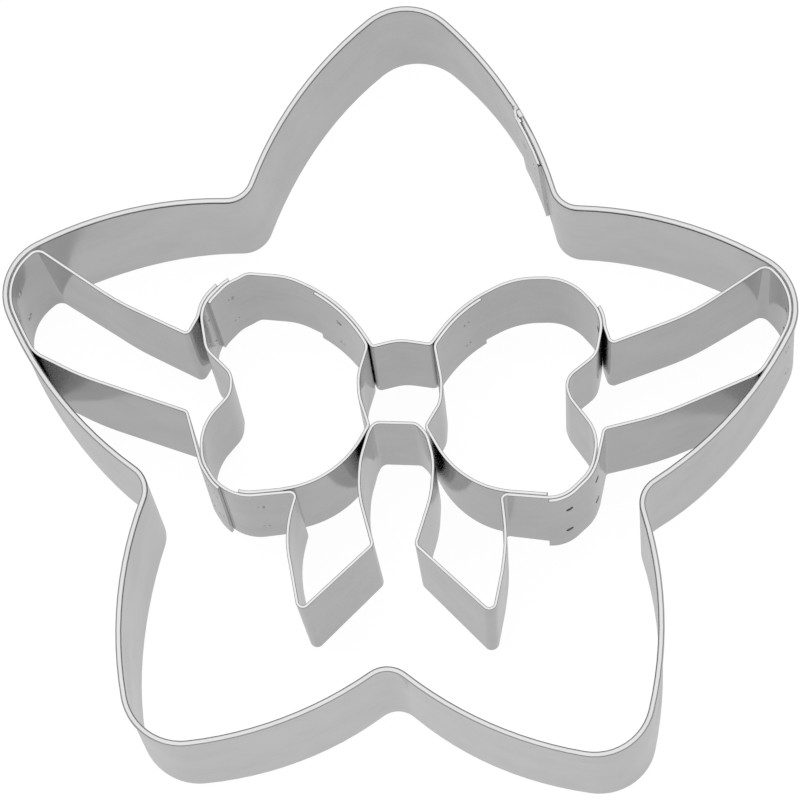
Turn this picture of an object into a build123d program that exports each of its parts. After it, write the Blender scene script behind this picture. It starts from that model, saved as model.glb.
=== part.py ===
from build123d import *
import os
from math import atan2, cos, degrees, radians, sin, tan

os.makedirs("parts", exist_ok=True)

# Sheet stock and heights, in millimetres
sheet = 0.36
seat_gap = 0.02
wall_height = 18.0
bow_setback = 0.6
rim_drop = 0.25
hair = 0.001
sliver = 0.03

# Rolled rim of the star
rim_fold = 0.34
rim_depth = 0.8

# Star: sizes of its inner face, from the middle of the star.
# The arms and notches run anticlockwise from the top arm.
star_reach = 46.0
side_radius = 42.7
tip_radius = 6.0
notch_radius = 3.4
arm_reach_shares = (1.0, 0.982, 0.973, 0.973, 0.982)
arm_leans = (0.0, -0.6, 0.8, -0.8, 0.6)
notch_reach_shares = (0.624, 0.597, 0.606, 0.597, 0.624)
notch_leans = (0.3, 0.0, 0.0, 0.0, -0.3)
out_of_square_share = -0.007

# Lap joint of the star strip, on the right flank of its top arm. The outer end lies at
# a share of the flank, the inner end lies a share of the star's length before it.
lap_place_share = 0.40
star_lap_share = 0.0216
star_joggle_share = 0.0042
star_rim_shares = (0.0024, 0.9995)

# Bow: its closed outline, anticlockwise from the middle of the knot's bottom.
# A row is across, up and bend radius, as shares of the bow's half width.
bow_half_width = 22.2
bow_right_shares = (
    (0.102, -0.066, 0.052),
    (0.155, -0.116, 0.130),
    (0.194, -0.246, 0.350),
    (0.189, -0.425, 0.531),
    (0.118, -0.681, 0.031),
    (0.508, -1.027, 0.033),
    (0.546, -0.805, 0.440),
    (0.563, -0.638, 0.804),
    (0.532, -0.415, 0.025),
    (0.831, -0.431, 0.175),
    (0.973, -0.282, 0.190),
    (1.001, -0.096, 0.203),
    (0.860, 0.083, 0.111),
    (0.827, 0.175, 0.091),
    (0.983, 0.308, 0.110),
    (1.015, 0.511, 0.182),
    (0.840, 0.699, 0.268),
    (0.567, 0.691, 0.434),
    (0.303, 0.543, 0.659),
    (0.163, 0.341, 0.022),
)
knot_hump_shares = (0.005, 0.360, 0.255)
bow_left_shares = (
    (-0.125, 0.323, 0.021),
    (-0.284, 0.557, 0.731),
    (-0.557, 0.674, 0.356),
    (-0.827, 0.690, 0.202),
    (-0.988, 0.510, 0.172),
    (-0.947, 0.291, 0.110),
    (-0.817, 0.166, 0.089),
    (-0.819, 0.063, 0.110),
    (-0.963, -0.107, 0.263),
    (-0.945, -0.282, 0.188),
    (-0.828, -0.469, 0.229),
    (-0.474, -0.426, 0.027),
    (-0.530, -0.648, 0.773),
    (-0.494, -0.793, 0.441),
    (-0.444, -1.040, 0.029),
    (-0.093, -0.687, 0.031),
    (-0.173, -0.419, 0.528),
    (-0.166, -0.255, 0.350),
    (-0.132, -0.122, 0.130),
    (-0.105, -0.065, 0.051),
)

# Lap joint of the bow strip on the left loop's shoulder: joggle, outer end and inner end,
# as shares of the outline's length from the knot's bottom, anticlockwise
bow_lap_shares = (0.6030, 0.6135, 0.6319)

# Inner strips of the loops: seats inside the outline as shares of its length, and
# free bends between them as shares of the bow's half width, both anticlockwise
right_loop_seat_shares = ((0.4429, 0.4760), (0.2117, 0.2328))
left_loop_seat_shares = ((0.7636, 0.7880), (0.5220, 0.5620))
right_loop_bend_shares = (
    (0.184, 0.338, 0.050),
    (0.224, 0.150, 0.300),
    (0.220, 0.045, 0.110),
    (0.152, -0.079, 0.031),
    (0.266, -0.268, 0.600),
    (0.440, -0.385, 0.600),
)
left_loop_bend_shares = (
    (-0.420, -0.390, 0.600),
    (-0.225, -0.265, 0.600),
    (-0.131, -0.078, 0.031),
    (-0.180, 0.060, 0.200),
    (-0.192, 0.170, 0.300),
    (-0.150, 0.325, 0.050),
)

# Straps, anticlockwise: a tab on the outline, a wall, a seat in the star's tip, a wall and a tab.
# Tabs and seats are shares of the line that they lie on. A corner beside a loop is a share of
# the bow's half width, a bend of a wall is a share of the star's reach.
left_tab_shares = ((0.6205, 0.6410), (0.7358, 0.7531))
left_seat_shares = (0.2475, 0.2955)
left_upper_corner_shares = ((-1.0423, 0.3647, 0.027),)
left_upper_shares = ((-0.676, 0.254, 0.650),)
left_lower_shares = ((-0.757, 0.068, 0.650),)
left_lower_corner_shares = ((-1.0329, -0.0311, 0.027),)
right_tab_shares = ((0.2333, 0.2690), (0.3570, 0.3690))
right_seat_shares = (0.8275, 0.8770)
right_lower_corner_shares = ((1.0298, -0.0705, 0.027),)
right_lower_shares = ((0.630, 0.003, 0.700),)
right_upper_shares = ((0.700, 0.256, 0.540),)
right_upper_corner_shares = ((1.0526, 0.3668, 0.027),)

# Where a seat is joined to a free bend: the seat's lead as a share of the line, and radii
bow_lead_share = 0.003
star_lead_share = 0.005
lap_lead_share = 0.002
loop_ease_radius = 3.0
lap_ease_radius = 1.5
tab_ease_radius = 3.0
tip_turn_radius = 1.2
tip_ease_radius = 3.2

# Spot welds: rows as shares of the wall height, columns as shares of the line
weld_radius = 0.55
weld_dent = 0.08
weld_clearance = 0.01
weld_bit_share = 0.002
weld_row_shares = (0.27, 0.71)
star_lap_weld_shares = (0.9845, 0.9945)
bow_lap_weld_shares = (0.6170,)
left_tab_weld_shares = (0.6370, 0.7405, 0.7485)
right_tab_weld_shares = (0.2440, 0.2655, 0.3630)
left_tip_weld_shares = (0.264, 0.282)
right_tip_weld_shares = (0.845, 0.862)
left_loop_weld_shares = (0.5450, 0.7750)
right_loop_weld_shares = (0.4550, 0.2240)


def polar(reach, angle):
    return Vector(reach * cos(radians(angle)), reach * sin(radians(angle)))


def heading(arrow):
    return degrees(atan2(arrow.Y, arrow.X))


def meeting(centre_a, reach_a, centre_b, reach_b, near):
    """The crossing of two circles that lies nearest to a point."""
    apart = centre_b - centre_a
    along = (reach_a**2 - reach_b**2 + apart.length**2) / (2 * apart.length)
    across = (reach_a**2 - along**2) ** 0.5
    foot = centre_a + apart.normalized() * along
    side = apart.normalized().rotate(Axis.Z, 90) * across
    return min((foot + side, foot - side), key=lambda crossing: (crossing - near).length)


def arc_bends(centre, radius, start, end, count):
    """Corners whose rounding is one arc about a centre, turning the shorter way."""
    sweep = (end - start + 180) % 360 - 180
    step = sweep / count
    reach = radius / cos(radians(step / 2))
    return [(centre + polar(reach, start + (index + 0.5) * step), radius) for index in range(count)]


def share_bends(rows, unit):
    """Corners from a table of shares of one size."""
    return [(Vector(across * unit, up * unit), radius * unit) for across, up, radius in rows]


def skewed(bends):
    """The same bends, with the finished frame pushed a little out of square."""
    return [
        (point + Vector(point.Y, point.X) * out_of_square_share, radius)
        for point, radius in bends
    ]


def moved(bends, shift):
    return [(point + shift, radius) for point, radius in bends]


def fitted(bends):
    """The same bends, with each radius no larger than the runs beside it allow."""
    points = [point for point, radius in bends]
    reaches = [0.0]
    for before, (corner, radius), after in zip(points, bends[1:-1], points[2:]):
        reaches.append(radius * tan(radians((corner - before).get_angle(after - corner) / 2)))
    reaches.append(0.0)
    scales = [1.0] * len(bends)
    for index in range(len(bends) - 1):
        run = (points[index + 1] - points[index]).length
        taken = reaches[index] + reaches[index + 1]
        if taken > run:
            scales[index] = min(scales[index], run / taken)
            scales[index + 1] = min(scales[index + 1], run / taken)
    return [(point, radius * scale) for (point, radius), scale in zip(bends, scales)]


def spans(bends):
    """The straight runs and arcs of a line: start, end, centre, radius and turn of each."""
    found = []
    here = bends[0][0]
    for (before, _), (corner, radius), (after, _) in zip(bends, bends[1:], bends[2:]):
        into = (corner - before).normalized()
        out = (after - corner).normalized()
        turn = degrees(atan2(into.cross(out).Z, into.dot(out)))
        reach = radius * tan(radians(abs(turn) / 2))
        start = corner - into * reach
        if (start - here).length > hair:
            found.append((here, start, None, 0, 0))
        else:
            start = here
        here = start
        if radius * radians(abs(turn)) > hair:
            here = corner + out * reach
            side = into.rotate(Axis.Z, 90 if turn > 0 else -90)
            found.append((start, here, corner - into * reach + side * radius, radius, turn))
    if (bends[-1][0] - here).length > hair:
        found.append((here, bends[-1][0], None, 0, 0))
    else:
        found[-1] = (found[-1][0], bends[-1][0]) + found[-1][2:]
    return found


def span_length(span):
    start, end, centre, radius, turn = span
    return radius * radians(abs(turn)) if turn else (end - start).length


def line_length(bends):
    return sum(span_length(span) for span in spans(bends))


def point_on(span, way):
    """The point at a length along a straight run or an arc."""
    start, end, centre, radius, turn = span
    if not turn:
        return start + (end - start).normalized() * way
    swept = degrees(way / radius) * (1 if turn > 0 else -1)
    return centre + polar(radius, heading(start - centre) + swept)


def stretch(bends, first_share, last_share):
    """The bends of a part of a line, between two shares of its length."""
    parts = spans(bends)
    first = line_length(bends) * first_share
    last = line_length(bends) * last_share
    passed = 0
    cut = []
    for part in parts:
        length = span_length(part)
        begin = max(first - passed, 0)
        finish = min(last - passed, length)
        passed += length
        if finish - begin > sliver:
            start = point_on(part, begin)
            end = point_on(part, finish)
            centre = part[2]
            if not cut:
                cut.append((start, 0.0))
            if centre:
                cut += arc_bends(centre, part[3], heading(start - centre), heading(end - centre), 1)
            cut.append((end, 0.0))
    return cut


def lane(bends, across):
    """The bends of a line beside another: positive lies to the left of its run."""
    points = [point for point, radius in bends]
    beside = []
    for index, (corner, radius) in enumerate(bends):
        into = corner - points[index - 1] if index else points[1] - corner
        out = points[index + 1] - corner if index < len(points) - 1 else into
        left_in = into.normalized().rotate(Axis.Z, 90)
        left_out = out.normalized().rotate(Axis.Z, 90)
        mitre = (left_in + left_out) * (across / (1 + left_in.dot(left_out)))
        eased = radius - across if into.cross(out).Z > 0 else radius + across
        beside.append((corner + mitre, max(eased, 0.0) if radius else 0.0))
    return beside


def seated(line, shares, across, lead_share, first_radius, last_radius):
    """Bends that follow a line at a distance. An end with a radius is joined to other bends
    there: it has a straight tangent lead, so that its own bend leaves the arcs as they are."""
    first, last = shares
    lead_in = lead_share if first_radius else 0
    lead_out = lead_share if last_radius else 0
    seat = lane(stretch(line, first + lead_in, last - lead_out), across)
    length = line_length(line)
    into = (seat[1][0] - seat[0][0]).normalized() * length * lead_in
    out = (seat[-1][0] - seat[-2][0]).normalized() * length * lead_out
    return [(seat[0][0] - into, first_radius)] + seat[1:-1] + [(seat[-1][0] + out, last_radius)]


def bent_line(bends):
    """Straight runs joined by tangent arcs, drawn into the BuildLine around the call."""
    for span in spans(bends):
        start, end, centre, radius, turn = span
        if turn:
            ThreePointArc(start, point_on(span, span_length(span) / 2), end)
        else:
            Line(start, end)


def strip_outline(bends, right, left):
    """The outline of a bent strip between two lanes of its line, drawn into the BuildLine."""
    near = lane(bends, right)
    far = lane(bends, left)
    bent_line(near)
    Line(near[-1][0], far[-1][0])
    bent_line(far[::-1])
    Line(far[0][0], near[0][0])


def weld_places(bends, shares, across):
    """Where rows of spot welds cross two sheets that lie beside a line."""
    places = []
    for share in shares:
        bit = stretch(bends, share - weld_bit_share, share + weld_bit_share)
        run = (bit[-1][0] - bit[0][0]).normalized()
        side = run.rotate(Axis.Z, 90)
        middle = (bit[-1][0] + bit[0][0]) / 2 + side * across
        for row in weld_row_shares:
            origin = middle + Vector(0, 0, wall_height * row)
            places.append(Plane(origin=origin, x_dir=run, z_dir=side).location)
    return places


def weld_holes(places):
    with Locations(*places):
        Cylinder(weld_radius + weld_clearance, 4 * sheet, mode=Mode.SUBTRACT)


def weld_group(name, places):
    """A group of spot-weld nuggets, each a little below the faces that it joins."""
    with BuildPart() as nuggets:
        with Locations(*places):
            Cylinder(weld_radius, 2 * sheet + seat_gap - 2 * weld_dent)
    nuggets.part.label = name
    export_step(nuggets.part, f"parts/{name}.step")


# Star: centres of the tip arcs, side arcs and notch arcs of its inner face
arms = range(len(arm_reach_shares))
arm_angles = [90 + 72 * arm + arm_leans[arm] for arm in arms]
notch_angles = [126 + 72 * arm + notch_leans[arm] for arm in arms]
tip_centres = [polar(star_reach * arm_reach_shares[arm] - tip_radius, arm_angles[arm]) for arm in arms]
notches = [polar(star_reach * notch_reach_shares[arm], notch_angles[arm]) for arm in arms]


def side_centre(arm, notch, turn):
    tip = tip_centres[arm]
    far = tip + polar(side_radius, arm_angles[arm] + turn)
    return meeting(notches[notch], side_radius, tip, side_radius - tip_radius, far)


rising = [side_centre(arm, arm - 1, 90) for arm in arms]
falling = [side_centre(arm, arm, -90) for arm in arms]
notch_centres = [
    meeting(falling[arm], side_radius + notch_radius, rising[arm - 4], side_radius + notch_radius, notches[arm])
    for arm in arms
]


def arm_bends(arm, start):
    """One arm anticlockwise, from a heading on its rising side to the end of its notch."""
    tip = tip_centres[arm]
    rise = rising[arm]
    fall = falling[arm]
    notch = notch_centres[arm]
    return (
        arc_bends(rise, side_radius, start, heading(tip - rise), 2)
        + arc_bends(tip, tip_radius, heading(tip - rise), heading(tip - fall), 2)
        + arc_bends(fall, side_radius, heading(tip - fall), heading(notch - fall), 2)
        + arc_bends(notch, notch_radius, heading(fall - notch), heading(rising[arm - 4] - notch), 1)
    )


# The star's closed line starts at the outer end of the strip, part of the way up the top arm
flank = rising[0]
flank_start = heading(notch_centres[-1] - flank)
flank_sweep = (heading(tip_centres[0] - flank) - flank_start + 180) % 360 - 180
lap_heading = flank_start + flank_sweep * lap_place_share
lap_point = (flank + polar(side_radius, lap_heading), 0.0)
star_round = arm_bends(0, lap_heading)
for arm in list(arms)[1:]:
    star_round += arm_bends(arm, heading(notch_centres[arm - 1] - rising[arm]))
star_round += arc_bends(flank, side_radius, flank_start, lap_heading, 1)
star_unsettled = fitted(skewed([lap_point] + star_round + [lap_point]))

# The middle of the star's box becomes the middle of the frame
with BuildLine() as star_drawing:
    bent_line(star_unsettled)
settling = -star_drawing.line.bounding_box().center()
star_bends = moved(star_unsettled, settling)

# Bow outline: its closed line, anticlockwise from the middle of the knot's bottom
bow_shares = bow_right_shares + (knot_hump_shares,) + bow_left_shares
knot_bottom = (Vector(0, bow_shares[0][1] * bow_half_width), 0.0)
bow_round = share_bends(bow_shares, bow_half_width)
bow_bends = fitted(moved(skewed([knot_bottom] + bow_round + [knot_bottom]), settling))

# Spot welds, across the middle of each pair of sheets
pair = (sheet + seat_gap) / 2
star_lap_welds = weld_places(star_bends, star_lap_weld_shares, seat_gap / 2)
left_tip_welds = weld_places(star_bends, left_tip_weld_shares, seat_gap / 2)
right_tip_welds = weld_places(star_bends, right_tip_weld_shares, seat_gap / 2)
bow_lap_welds = weld_places(bow_bends, bow_lap_weld_shares, pair)
left_tab_welds = weld_places(bow_bends, left_tab_weld_shares, -pair)
right_tab_welds = weld_places(bow_bends, right_tab_weld_shares, -pair)
left_loop_welds = weld_places(bow_bends, left_loop_weld_shares, pair)
right_loop_welds = weld_places(bow_bends, right_loop_weld_shares, pair)

# Star strip: the body ends outside, its own start is joggled inwards by one sheet
star_flap = seated(
    star_bends, (1 - star_lap_share, 1), sheet + seat_gap, lap_lead_share, 0, lap_ease_radius
)
body_shares = (star_joggle_share, 1 - lap_lead_share)
star_body = seated(star_bends, body_shares, 0, lap_lead_share, lap_ease_radius, 0)
star_rim = stretch(star_bends, *star_rim_shares)
star_run = fitted(star_flap + star_body)
with BuildPart() as star_strip:
    with BuildSketch():
        with BuildLine():
            strip_outline(star_run, -sheet, 0)
        make_face()
    extrude(amount=wall_height)
    with BuildSketch(Plane.XY.offset(wall_height - rim_depth)):
        with BuildLine():
            strip_outline(star_rim, -sheet - rim_fold, -sheet / 2)
        make_face()
    extrude(amount=rim_depth)
    weld_holes(star_lap_welds + left_tip_welds + right_tip_welds)
star_strip.part.label = "star_strip"
export_step(star_strip.part, "parts/star_strip.step")

# Bow outline strip: the body starts outside, its end is joggled inwards by one sheet
bow_base = bow_setback
bow_height = wall_height - rim_drop - bow_setback
joggle_share, outer_share, inner_share = bow_lap_shares
bow_run = stretch(bow_bends, outer_share, 1)[:-1]
bow_run += seated(bow_bends, (0, joggle_share), 0, lap_lead_share, 0, lap_ease_radius)[1:]
flap_shares = (outer_share - 2 * lap_lead_share, inner_share)
bow_run += seated(bow_bends, flap_shares, sheet + seat_gap, lap_lead_share, lap_ease_radius, 0)
bow_run = fitted(bow_run)
with BuildPart() as bow_outline:
    with BuildSketch(Plane.XY.offset(bow_base)):
        with BuildLine():
            strip_outline(bow_run, -sheet / 2, sheet / 2)
        make_face()
    extrude(amount=bow_height)
    weld_holes(bow_lap_welds + left_tab_welds + right_tab_welds + left_loop_welds + right_loop_welds)
bow_outline.part.label = "bow_outline"
export_step(bow_outline.part, "parts/bow_outline.step")


def bow_seat(shares, side, first_radius, last_radius):
    """Bends that follow the bow outline, inside it (1) or outside it (-1)."""
    across = side * (sheet + seat_gap)
    return seated(bow_bends, shares, across, bow_lead_share, first_radius, last_radius)


def tip_seat(shares, first_radius, last_radius):
    """Bends that follow the inner face of the star."""
    across = seat_gap + sheet / 2
    return seated(star_bends, shares, across, star_lead_share, first_radius, last_radius)


def free_bends(rows, unit):
    return moved(skewed(share_bends(rows, unit)), settling)


# Straps: each runs from a tab to the star's tip and back to the other tab
left_run = fitted(
    bow_seat(left_tab_shares[0], -1, 0, tab_ease_radius)
    + free_bends(left_upper_corner_shares, bow_half_width)
    + free_bends(left_upper_shares, star_reach)
    + tip_seat(left_seat_shares, tip_turn_radius, tip_ease_radius)
    + free_bends(left_lower_shares, star_reach)
    + free_bends(left_lower_corner_shares, bow_half_width)
    + bow_seat(left_tab_shares[1], -1, tab_ease_radius, 0)
)
with BuildPart() as left_strap:
    with BuildSketch():
        with BuildLine():
            strip_outline(left_run, -sheet / 2, sheet / 2)
        make_face()
    extrude(amount=wall_height - rim_drop)
    weld_holes(left_tip_welds + left_tab_welds)
left_strap.part.label = "left_strap"
export_step(left_strap.part, "parts/left_strap.step")

right_run = fitted(
    bow_seat(right_tab_shares[0], -1, 0, tab_ease_radius)
    + free_bends(right_lower_corner_shares, bow_half_width)
    + free_bends(right_lower_shares, star_reach)
    + tip_seat(right_seat_shares, tip_ease_radius, tip_turn_radius)
    + free_bends(right_upper_shares, star_reach)
    + free_bends(right_upper_corner_shares, bow_half_width)
    + bow_seat(right_tab_shares[1], -1, tab_ease_radius, 0)
)
with BuildPart() as right_strap:
    with BuildSketch():
        with BuildLine():
            strip_outline(right_run, -sheet / 2, sheet / 2)
        make_face()
    extrude(amount=wall_height - rim_drop)
    weld_holes(right_tip_welds + right_tab_welds)
right_strap.part.label = "right_strap"
export_step(right_strap.part, "parts/right_strap.step")

# Inner strips of the loops
right_inner_run = fitted(
    bow_seat(right_loop_seat_shares[0], 1, 0, loop_ease_radius)
    + free_bends(right_loop_bend_shares, bow_half_width)
    + bow_seat(right_loop_seat_shares[1], 1, loop_ease_radius, 0)
)
with BuildPart() as right_loop_inner:
    with BuildSketch(Plane.XY.offset(bow_base)):
        with BuildLine():
            strip_outline(right_inner_run, -sheet / 2, sheet / 2)
        make_face()
    extrude(amount=bow_height)
    weld_holes(right_loop_welds)
right_loop_inner.part.label = "right_loop_inner"
export_step(right_loop_inner.part, "parts/right_loop_inner.step")

left_inner_run = fitted(
    bow_seat(left_loop_seat_shares[0], 1, 0, loop_ease_radius)
    + free_bends(left_loop_bend_shares, bow_half_width)
    + bow_seat(left_loop_seat_shares[1], 1, loop_ease_radius, 0)
)
with BuildPart() as left_loop_inner:
    with BuildSketch(Plane.XY.offset(bow_base)):
        with BuildLine():
            strip_outline(left_inner_run, -sheet / 2, sheet / 2)
        make_face()
    extrude(amount=bow_height)
    weld_holes(left_loop_welds)
left_loop_inner.part.label = "left_loop_inner"
export_step(left_loop_inner.part, "parts/left_loop_inner.step")

weld_group("star_lap_welds", star_lap_welds)
weld_group("left_tip_welds", left_tip_welds)
weld_group("right_tip_welds", right_tip_welds)
weld_group("bow_lap_welds", bow_lap_welds)
weld_group("left_tab_welds", left_tab_welds)
weld_group("right_tab_welds", right_tab_welds)
weld_group("left_loop_welds", left_loop_welds)
weld_group("right_loop_welds", right_loop_welds)
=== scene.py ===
# %% [markdown]
# # A cookie cutter of bent steel strip
# The cutter is a rounded star with a ribbon bow inside it. It is six thin strips, bent and
# spot-welded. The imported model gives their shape, so this lesson is about what the eye needs on
# top of it: softened rims, cold-rolled steel, small weld marks and studio light.

# %% Load the frame
import bpy
from math import radians
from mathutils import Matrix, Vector


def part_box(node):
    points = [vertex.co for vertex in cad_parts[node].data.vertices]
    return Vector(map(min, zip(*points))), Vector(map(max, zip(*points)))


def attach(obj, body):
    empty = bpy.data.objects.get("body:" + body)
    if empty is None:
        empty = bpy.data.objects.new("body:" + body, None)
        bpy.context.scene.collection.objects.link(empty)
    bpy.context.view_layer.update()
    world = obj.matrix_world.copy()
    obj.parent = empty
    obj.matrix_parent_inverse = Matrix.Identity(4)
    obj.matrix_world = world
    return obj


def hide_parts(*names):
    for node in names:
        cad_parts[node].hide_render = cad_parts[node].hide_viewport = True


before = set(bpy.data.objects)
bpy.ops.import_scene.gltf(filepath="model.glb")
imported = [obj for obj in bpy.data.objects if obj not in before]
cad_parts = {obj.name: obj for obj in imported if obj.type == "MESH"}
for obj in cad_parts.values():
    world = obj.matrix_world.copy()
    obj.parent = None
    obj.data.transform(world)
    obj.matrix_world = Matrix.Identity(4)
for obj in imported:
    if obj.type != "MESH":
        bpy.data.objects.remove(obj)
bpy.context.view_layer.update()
print("nodes", sorted(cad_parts))

# %% [markdown]
# Lengths are worked out in metres, because that is the unit of the frame. One name for a
# millimetre keeps the numbers readable.

# %% Units and named heights
MM = 0.001
STAR_TOP = 18.0 * MM
BOW_TOP = 17.75 * MM
STAR_BEAD = 0.3 * MM
BOW_EASE = 0.12 * MM
RIM_DEPTH = 0.8 * MM
SQUEEZED_FOLD = Vector((12.66, 30.16, 17.56)) * MM
SQUEEZED_LENGTH = 0.98 * MM
SQUEEZED_WIDTH = 0.6 * MM
SQUEEZED_EASE = 0.16 * MM
SQUEEZED_TURN = radians(-59.5)
WELD_INSET = 0.11 * MM
WELD_GROWTH = 0.1 * MM
SAME_POINT = 0.002 * MM
LEVEL_SLACK = 0.01 * MM
SMOOTH_ANGLE = radians(30)
print("star rim at", STAR_TOP, "bow rim at", BOW_TOP)


# %% [markdown]
# The hex colours in this file are what the eye sees on a screen. Blender mixes light in linear
# values, so one function turns each hex colour into a linear one.

# %% Hex colour to linear
def linear(hex_colour):
    values = []
    for start in (0, 2, 4):
        share = int(hex_colour[start:start + 2], 16) / 255
        values.append(share / 12.92 if share <= 0.04045 else ((share + 0.055) / 1.055) ** 2.4)
    return (*values, 1.0)


print("mid grey", [round(value, 3) for value in linear("808080")])


# %% [markdown]
# A node material is a small chain of nodes. This one helper adds a node, sets its options and its
# plain values, and links what comes in, so each material below reads as a short list.

# %% Add a node
def add_node(tree, kind, options=None, values=None, links=None):
    node = tree.nodes.new(kind)
    for name, value in (options or {}).items():
        setattr(node, name, value)
    for name, value in (values or {}).items():
        node.inputs[name].default_value = value
    for name, socket in (links or {}).items():
        tree.links.new(socket, node.inputs[name])
    return node


def new_material(name):
    material = bpy.data.materials.new(name)
    material.use_nodes = True
    material.node_tree.nodes.clear()
    return material, material.node_tree


# %% [markdown]
# The strip is cold-rolled stainless steel, bright but not polished. Rolling leaves streaks along
# the strip, which means level lines on a standing wall. The real ones are some 0.05 mm apart and
# too fine to show here, so they are drawn 0.35 mm apart. Handling adds soft smudges some 6 mm
# wide. Steel is a full metal, so its colour is its reflection colour. The bow's upper edges get a
# lighter steel, a painted highlight for the white they mirror from the bright light above.

# %% Cold-rolled strip steel
STREAK_GAP = 0.35 * MM
STREAK_LENGTH = 25.0 * MM
SMUDGE_SIZE = 6.0 * MM


def strip_steel(name, hex_colour, dark_hex, roughness):
    material, tree = new_material(name)
    place = add_node(tree, "ShaderNodeTexCoord").outputs["Object"]
    streak_space = add_node(
        tree, "ShaderNodeMapping",
        values={"Scale": (1 / STREAK_LENGTH, 1 / STREAK_LENGTH, 1 / STREAK_GAP)},
        links={"Vector": place},
    )
    streaks = add_node(
        tree, "ShaderNodeTexNoise",
        values={"Scale": 1.0, "Detail": 4.0, "Roughness": 0.6},
        links={"Vector": streak_space.outputs["Vector"]},
    )
    smudges = add_node(
        tree, "ShaderNodeTexNoise",
        values={"Scale": 1 / SMUDGE_SIZE, "Detail": 3.0, "Roughness": 0.55},
        links={"Vector": place},
    )
    mixed = add_node(
        tree, "ShaderNodeMath", options={"operation": "MULTIPLY_ADD"},
        values={1: 0.45}, links={0: streaks.outputs["Fac"], 2: smudges.outputs["Fac"]},
    )
    colour = add_node(tree, "ShaderNodeValToRGB", links={"Fac": mixed.outputs["Value"]})
    colour.color_ramp.elements[0].position = 0.45
    colour.color_ramp.elements[0].color = linear(dark_hex)
    colour.color_ramp.elements[1].position = 0.85
    colour.color_ramp.elements[1].color = linear(hex_colour)
    gloss = add_node(
        tree, "ShaderNodeMapRange",
        values={
            "From Min": 0.4, "From Max": 0.9,
            "To Min": roughness + 0.05, "To Max": roughness - 0.03,
        },
        links={"Value": mixed.outputs["Value"]},
    )
    relief = add_node(
        tree, "ShaderNodeBump",
        values={"Strength": 0.12, "Distance": 0.01 * MM},
        links={"Height": streaks.outputs["Fac"]},
    )
    shader = add_node(
        tree, "ShaderNodeBsdfPrincipled", values={"Metallic": 1.0},
        links={
            "Base Color": colour.outputs["Color"],
            "Roughness": gloss.outputs["Result"],
            "Normal": relief.outputs["Normal"],
        },
    )
    add_node(tree, "ShaderNodeOutputMaterial", links={"Surface": shader.outputs["BSDF"]})
    return material


STAR_STEEL = strip_steel("cold_rolled_steel_star", "DADADA", "D3D3D3", 0.17)
BOW_STEEL = strip_steel("cold_rolled_steel_bow", "C7C7C7", "BFBFBF", 0.13)
EDGE_HIGHLIGHT_STEEL = strip_steel("edge_highlight_steel", "E0E0E0", "D8D8D8", 0.17)
print("steel materials", STAR_STEEL.name, BOW_STEEL.name, EDGE_HIGHLIGHT_STEEL.name)


# %% [markdown]
# A spot weld is squeezed between two copper tips with a large current. It leaves a small dull
# mark, darker than the sheet, with a grain of burnt scale some 0.5 mm wide.

# %% Spot-weld steel
SCALE_GRAIN = 0.5 * MM


def weld_steel():
    material, tree = new_material("spot_weld_scale")
    place = add_node(tree, "ShaderNodeTexCoord").outputs["Object"]
    scale = add_node(
        tree, "ShaderNodeTexNoise",
        values={"Scale": 1 / SCALE_GRAIN, "Detail": 3.0}, links={"Vector": place},
    )
    colour = add_node(tree, "ShaderNodeValToRGB", links={"Fac": scale.outputs["Fac"]})
    colour.color_ramp.elements[0].position = 0.35
    colour.color_ramp.elements[0].color = linear("262626")
    colour.color_ramp.elements[1].position = 0.7
    colour.color_ramp.elements[1].color = linear("565656")
    relief = add_node(
        tree, "ShaderNodeBump",
        values={"Strength": 0.4, "Distance": 0.03 * MM}, links={"Height": scale.outputs["Fac"]},
    )
    shader = add_node(
        tree, "ShaderNodeBsdfPrincipled", values={"Metallic": 1.0, "Roughness": 0.5},
        links={"Base Color": colour.outputs["Color"], "Normal": relief.outputs["Normal"]},
    )
    add_node(tree, "ShaderNodeOutputMaterial", links={"Surface": shader.outputs["BSDF"]})
    return material


WELD_STEEL = weld_steel()
print("weld material", WELD_STEEL.name)


# %% [markdown]
# Blender's operators act on all that is selected, and on the active object. So before each step
# everything is let go, and the piece in hand is picked alone. A copy of a node is made in the
# same way each time, and the nodes of the frame themselves are never touched.

# %% Copy a node and pick a piece
def pick(piece):
    bpy.ops.object.select_all(action="DESELECT")
    piece.select_set(True)
    bpy.context.view_layer.objects.active = piece


def copy_of(node, name):
    piece = bpy.data.objects.new(name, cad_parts[node].data.copy())
    bpy.context.scene.collection.objects.link(piece)
    pick(piece)
    return piece


print("nodes to copy", len(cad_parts))


# %% [markdown]
# On the real cutter each strip is one long band, bent on edge. The frame already holds the bent
# plan of each band as its flat cut-edge face. So that face alone is kept from a copy of the frame's
# strip, and it is pulled up again to the full height. The walls come out as clean upright panels
# round every bend, without the small weld holes that would spoil their shine.

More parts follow.
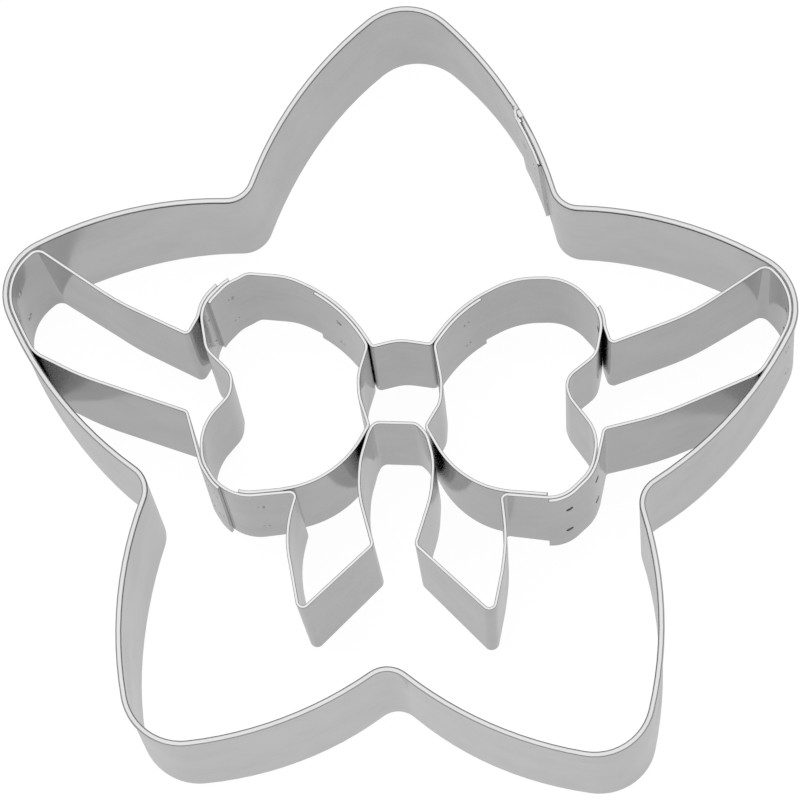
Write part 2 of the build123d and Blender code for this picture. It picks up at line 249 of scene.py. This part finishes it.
# %% Keep one level face and pull it
def level_band(node, name, level, pull):
    piece = copy_of(node, name)
    bpy.ops.object.mode_set(mode="EDIT")
    bpy.ops.mesh.select_mode(type="FACE")
    bpy.ops.mesh.select_all(action="SELECT")
    bpy.ops.mesh.remove_doubles(threshold=SAME_POINT)
    bpy.ops.object.mode_set(mode="OBJECT")
    points = piece.data.vertices
    for face in piece.data.polygons:
        face.select = any(abs(points[index].co.z - level) > LEVEL_SLACK for index in face.vertices)
    bpy.ops.object.mode_set(mode="EDIT")
    bpy.ops.mesh.delete(type="FACE")
    bpy.ops.mesh.select_all(action="SELECT")
    bpy.ops.mesh.tris_convert_to_quads(face_threshold=radians(180), shape_threshold=radians(180))
    bpy.ops.mesh.extrude_region_move(TRANSFORM_OT_translate={"value": (0, 0, pull)})
    bpy.ops.mesh.select_all(action="SELECT")
    bpy.ops.mesh.normals_make_consistent(inside=False)
    bpy.ops.object.mode_set(mode="OBJECT")
    print(name, "faces", len(piece.data.polygons))
    return piece


# %% [markdown]
# The star's rim is folded over, which makes a round bead, white on its crown and grey on both
# flanks. The bow's strips are not folded, and their upper edges are only rubbed round. Both are a
# bevel of the edges round the flat top, almost as wide as half the top.

# %% Round the upper edges
def rounded_top(piece, width):
    points = piece.data.vertices
    top = max(point.co.z for point in points)
    flat_edges = []
    for face in piece.data.polygons:
        if all(abs(points[index].co.z - top) < LEVEL_SLACK for index in face.vertices):
            flat_edges.extend(face.edge_keys)
    rim_edges = {key for key in flat_edges if flat_edges.count(key) == 1}
    weights = piece.data.attributes.new("bevel_weight_edge", "FLOAT", "EDGE")
    for edge in piece.data.edges:
        weights.data[edge.index].value = float(edge.key in rim_edges)
    bevel = piece.modifiers.new("round", "BEVEL")
    bevel.limit_method = "WEIGHT"
    bevel.width = width
    bevel.segments = 4
    bevel.use_clamp_overlap = False
    pick(piece)
    bpy.ops.object.modifier_apply(modifier="round")
    print(piece.name, "rim edges", len(rim_edges))


# %% [markdown]
# In the photograph the walls' feet lie up to 1.2 mm beside the place straight below their rims,
# and that decides what each wall mirrors. Walls that lean a little are the likely cause, because
# the shift changes from place to place, though a small error in the camera's tilt may be a part
# of it. A lattice is a soft cage round the whole cutter, from the floor to the lower edge of the
# folded rim. Only its lower points are moved, so the rims stay in place, and strips and welds
# lean together with their neighbours and never part. The tables give the shift of each lower
# point, to the right and to the back, in hundredths of a millimetre. Their rows run from front
# to back, and each row from left to right.
# These numbers were not chosen by hand. A separate least-squares program fitted them to the feet
# in the photograph, and eight of them, in the first and last rows of LEAN_BACK, were then changed
# by hand to keep the walls inside the frame's box. So the tables are no example to follow. The
# view layer is updated once, so that the cage's new size counts.

# %% The cage that leans the walls
LEAN_ACROSS = (
    (-10, 2, 25, 40, 36, 14, 25, 35, 19),
    (-6, 18, 38, 52, 22, -61, -54, -9, 27),
    (62, 81, 62, 28, 4, -93, -80, -6, 46),
    (103, 59, -7, -23, 2, -49, -52, 28, 58),
    (21, 47, -19, -34, -41, -76, -74, -36, 23),
    (12, 107, 44, -14, -22, -30, -63, -99, -45),
    (87, 100, 67, 35, 28, 34, -7, -62, -62),
    (22, 43, 44, 33, 43, 68, 32, -11, -38),
    (-1, -5, -8, -13, 13, 54, 49, 25, -5),
)
LEAN_BACK = (
    (18, -4, -44, -70, -70, -65, -17, -1, 3),
    (-10, -22, -24, -28, -56, -39, -43, -47, -33),
    (-46, -55, -18, 23, -17, -3, -58, -94, -65),
    (-49, -91, -50, 43, 18, 30, -62, -108, -77),
    (-50, -51, -19, 12, 0, 9, 39, 27, -60),
    (-40, 10, 35, 0, 11, 12, 46, 35, -65),
    (-114, -89, -52, -10, 19, 6, -54, -74, -70),
    (-42, -64, -47, -3, 26, 20, -34, -57, -47),
    (-9, -14, -9, -4, -6, 2, -3, -11, -16),
)
CAGE_SIDE = 90.0 * MM
CAGE_HEIGHT = STAR_TOP - RIM_DEPTH
bpy.ops.object.add(type="LATTICE", location=(0, 0, CAGE_HEIGHT / 2))
cage = bpy.context.object
cage.scale = (CAGE_SIDE, CAGE_SIDE, CAGE_HEIGHT)
cage.data.points_u = cage.data.points_v = len(LEAN_ACROSS)
cage.data.points_w = 2
cage.data.interpolation_type_u = cage.data.interpolation_type_v = "KEY_BSPLINE"
cage.data.interpolation_type_w = "KEY_LINEAR"
for row, (across, back) in enumerate(zip(LEAN_ACROSS, LEAN_BACK)):
    for column, shift in enumerate(zip(across, back)):
        point = cage.data.points[row * len(across) + column]
        shift_across, shift_back = (value * 0.01 * MM / CAGE_SIDE for value in shift)
        point.co_deform = point.co + Vector((shift_across, shift_back, 0))
bpy.context.view_layer.update()
print("cage points", len(cage.data.points))


def leaned(piece):
    lean = piece.modifiers.new("lean", "LATTICE")
    lean.object = cage
    pick(piece)
    bpy.ops.object.modifier_apply(modifier="lean")


def dressed(piece, node, material):
    leaned(piece)
    bpy.ops.object.shade_smooth_by_angle(angle=SMOOTH_ANGLE)
    piece.data.materials.clear()
    piece.data.materials.append(material)
    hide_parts(node)
    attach(piece, "root")
    print(piece.name, "stands for", node)


# %% [markdown]
# The star has two bands: its thin wall, and the folded rim, pulled down from the rim's own top
# face. At the lap joint the fold was squeezed together with the sheet, and the photograph shows
# only a nick between its two ends. So a small squeezed bit of fold, a beveled block, closes the gap
# there, a hair lower than the rim. All are joined to one piece, as they are one sheet.

# %% The star strip
star_wall = level_band("star_strip", "star_strip_dressed", 0.0, STAR_TOP - RIM_DEPTH / 2)
star_rim = level_band("star_strip", "star_rim_dressed", STAR_TOP, -RIM_DEPTH)
rounded_top(star_rim, STAR_BEAD)
bpy.ops.object.select_all(action="DESELECT")
bpy.ops.mesh.primitive_cube_add(size=1, location=SQUEEZED_FOLD)
squeezed = bpy.context.object
squeezed.scale = (SQUEEZED_LENGTH, SQUEEZED_WIDTH, RIM_DEPTH)
squeezed.rotation_euler = (0, 0, SQUEEZED_TURN)
bpy.ops.object.transform_apply(location=True, rotation=True, scale=True)
bevel = squeezed.modifiers.new("round", "BEVEL")
bevel.width = SQUEEZED_EASE
bevel.segments = 3
bpy.ops.object.modifier_apply(modifier="round")
pick(star_wall)
star_rim.select_set(True)
squeezed.select_set(True)
bpy.ops.object.join()
dressed(star_wall, "star_strip", STAR_STEEL)

# %% [markdown]
# The bow and the two straps are plain bands. The bow's own strips stand a little higher than the
# cutting edge, and the straps reach down to it.

# %% The strips of the bow
for node in ("bow_outline", "left_strap", "right_strap", "left_loop_inner", "right_loop_inner"):
    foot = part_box(node)[0].z
    band = level_band(node, node + "_dressed", foot, BOW_TOP - foot)
    rounded_top(band, BOW_EASE)
    dressed(band, node, BOW_STEEL)
    # The faces at the top of each band take the lighter steel, a painted highlight.
    band.data.materials.append(EDGE_HIGHLIGHT_STEEL)
    for face in band.data.polygons:
        face.material_index = int(face.center.z > BOW_TOP - BOW_EASE)

# %% [markdown]
# A spot weld leaves a small round print on both sheets. The frame has the weld as a disc between
# them. So both ends of each disc are inset to the size of the print and pulled out until they
# stand just proud of the sheets. The photograph shows burnt prints on the right tab alone. No
# burn shows on the others, so they keep the bright steel.

# %% The weld prints
for node in sorted(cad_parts):
    if node.endswith("_welds"):
        prints = copy_of(node, node + "_dressed")
        bpy.ops.object.mode_set(mode="EDIT")
        bpy.ops.mesh.select_all(action="SELECT")
        bpy.ops.mesh.remove_doubles(threshold=SAME_POINT)
        bpy.ops.mesh.dissolve_limited(angle_limit=radians(1))
        bpy.ops.object.mode_set(mode="OBJECT")
        for face in prints.data.polygons:
            face.select = len(face.vertices) > 6
        bpy.ops.object.mode_set(mode="EDIT")
        bpy.ops.mesh.inset(thickness=WELD_INSET)
        bpy.ops.mesh.extrude_region_shrink_fatten(TRANSFORM_OT_shrink_fatten={"value": WELD_GROWTH})
        bpy.ops.object.mode_set(mode="OBJECT")
        leaned(prints)
        bpy.ops.object.shade_smooth_by_angle(angle=SMOOTH_ANGLE)
        burnt = node == "right_tab_welds"
        clean_steel = STAR_STEEL if node == "star_lap_welds" else BOW_STEEL
        prints.data.materials.clear()
        prints.data.materials.append(WELD_STEEL if burnt else clean_steel)
        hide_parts(node)
        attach(prints, "root")
        print(prints.name, "burnt" if burnt else "clean")
bpy.data.objects.remove(cage)

# %% [markdown]
# The cutter stands on a white sheet under a light tent. The camera and the reflections see the
# sheet glow white, and a part of it stays a plain matt surface, so that the walls still shade it.
# Reflections see it fall to grey far away. That grey is what draws the flanks of each bead.

# %% White paper
FRONT_SIDE = 45.0 * MM
FALL_REACH = 300.0 * MM
NEAR_GLOW, FAR_GLOW = 0.68, 0.3
SEEN_WHITE = 1.05
GLOW_SHARE = 0.92
paper, tree = new_material("white_paper")
path = add_node(tree, "ShaderNodeLightPath")
place = add_node(tree, "ShaderNodeTexCoord").outputs["Object"]
from_front = add_node(
    tree, "ShaderNodeVectorMath", options={"operation": "ADD"},
    values={1: (0, FRONT_SIDE, 0)}, links={0: place},
)
distance = add_node(
    tree, "ShaderNodeVectorMath", options={"operation": "LENGTH"},
    links={0: from_front.outputs["Vector"]},
)
falling = add_node(
    tree, "ShaderNodeMapRange",
    values={"From Min": 0.0, "From Max": FALL_REACH, "To Min": NEAR_GLOW, "To Max": FAR_GLOW},
    links={"Value": distance.outputs["Value"]},
)
white = add_node(
    tree, "ShaderNodeMath", options={"operation": "MULTIPLY"}, values={1: SEEN_WHITE},
    links={0: path.outputs["Is Camera Ray"]},
)
strength = add_node(
    tree, "ShaderNodeMath", options={"operation": "MAXIMUM"},
    links={0: white.outputs["Value"], 1: falling.outputs["Result"]},
)
seen = add_node(
    tree, "ShaderNodeMath", options={"operation": "MAXIMUM"},
    links={0: path.outputs["Is Camera Ray"], 1: path.outputs["Is Glossy Ray"]},
)
share = add_node(
    tree, "ShaderNodeMath", options={"operation": "MULTIPLY"}, values={1: GLOW_SHARE},
    links={0: seen.outputs["Value"]},
)
matt = add_node(tree, "ShaderNodeBsdfDiffuse", values={"Color": linear("F6F6F6")})
glow = add_node(
    tree, "ShaderNodeEmission",
    values={"Color": linear("FFFFFF")}, links={"Strength": strength.outputs["Value"]},
)
blend = add_node(
    tree, "ShaderNodeMixShader",
    links={0: share.outputs["Value"], 1: matt.outputs["BSDF"], 2: glow.outputs["Emission"]},
)
add_node(tree, "ShaderNodeOutputMaterial", links={"Surface": blend.outputs["Shader"]})
print("paper material", paper.name)

# %% [markdown]
# The sheet is far wider than the cutter, so that its edge never shows. It lies a hair below the
# cutting edge, so that the two never share a plane.

# %% The floor
SHEET_SIDE = 3.0
SHEET_DROP = 0.05 * MM
bpy.ops.object.select_all(action="DESELECT")
bpy.ops.mesh.primitive_plane_add(size=SHEET_SIDE, location=(0, 0, -SHEET_DROP))
floor = bpy.context.object
floor.name = "floor"
floor.data.materials.append(paper)
print("floor", SHEET_SIDE, "m wide")

# %% [markdown]
# Light in a tent comes from all round and most from above. The world gives this part. It is even
# for matt surfaces, white for the camera, and for reflections it runs from a dim horizon to a
# bright top, which gives the rims their white.

# %% World
LOW_SKY, HIGH_SKY = 0.28, 1.42
EVEN_LIGHT = 0.62
world = bpy.data.worlds.new("light_tent")
bpy.context.scene.world = world
world.use_nodes = True
tree = world.node_tree
tree.nodes.clear()
path = add_node(tree, "ShaderNodeLightPath")
place = add_node(tree, "ShaderNodeTexCoord").outputs["Generated"]
height = add_node(tree, "ShaderNodeSeparateXYZ", links={"Vector": place})
tent = add_node(
    tree, "ShaderNodeMapRange", options={"interpolation_type": "SMOOTHSTEP"},
    values={"From Min": 0.15, "From Max": 0.85, "To Min": LOW_SKY, "To Max": HIGH_SKY},
    links={"Value": height.outputs["Z"]},
)
level = add_node(
    tree, "ShaderNodeMix", options={"data_type": "FLOAT"}, values={"A": EVEN_LIGHT},
    links={"Factor": path.outputs["Is Glossy Ray"], "B": tent.outputs["Result"]},
)
shown = add_node(
    tree, "ShaderNodeMath", options={"operation": "MAXIMUM"},
    links={0: path.outputs["Is Camera Ray"], 1: level.outputs["Result"]},
)
sky = add_node(tree, "ShaderNodeBackground", links={"Strength": shown.outputs["Value"]})
add_node(tree, "ShaderNodeOutputWorld", links={"Surface": sky.outputs["Background"]})
print("world", world.name)

# %% [markdown]
# One large soft lamp overhead gives the sheet its gentle shadows. Reflections don't show it, as
# the tent's cloth hides a real one.

# %% Lamp
LAMP_PLACE = Vector((-0.15, 0.25, 0.9))
bpy.ops.object.light_add(type="AREA", location=LAMP_PLACE)
lamp = bpy.context.object
lamp.name = "overhead"
lamp.data.shape = "DISK"
lamp.data.size = 0.7
lamp.data.energy = 5.0
lamp.rotation_euler = (-LAMP_PLACE).to_track_quat("-Z", "Y").to_euler()
lamp.visible_glossy = False
print("lamp", lamp.name)

# %% [markdown]
# The photograph was taken from above with a long lens, some 16.5 degrees off straight down. Its
# place was worked out from the shift between the rim and the cutting edge all round the star.

# %% Camera
bpy.ops.object.camera_add(location=(51.483 * MM, -200.82 * MM, 707.505 * MM))
camera = bpy.context.object
camera.rotation_euler = (radians(16.1016), radians(3.6499), radians(2.0))
camera.data.sensor_width = 36.0
camera.data.lens = 296.2
camera.data.clip_start = 0.01
camera.data.clip_end = 10.0
bpy.context.scene.camera = camera
print("camera at", tuple(round(value, 4) for value in camera.location))

# %% Finish
bpy.context.scene.view_settings.view_transform = "Standard"
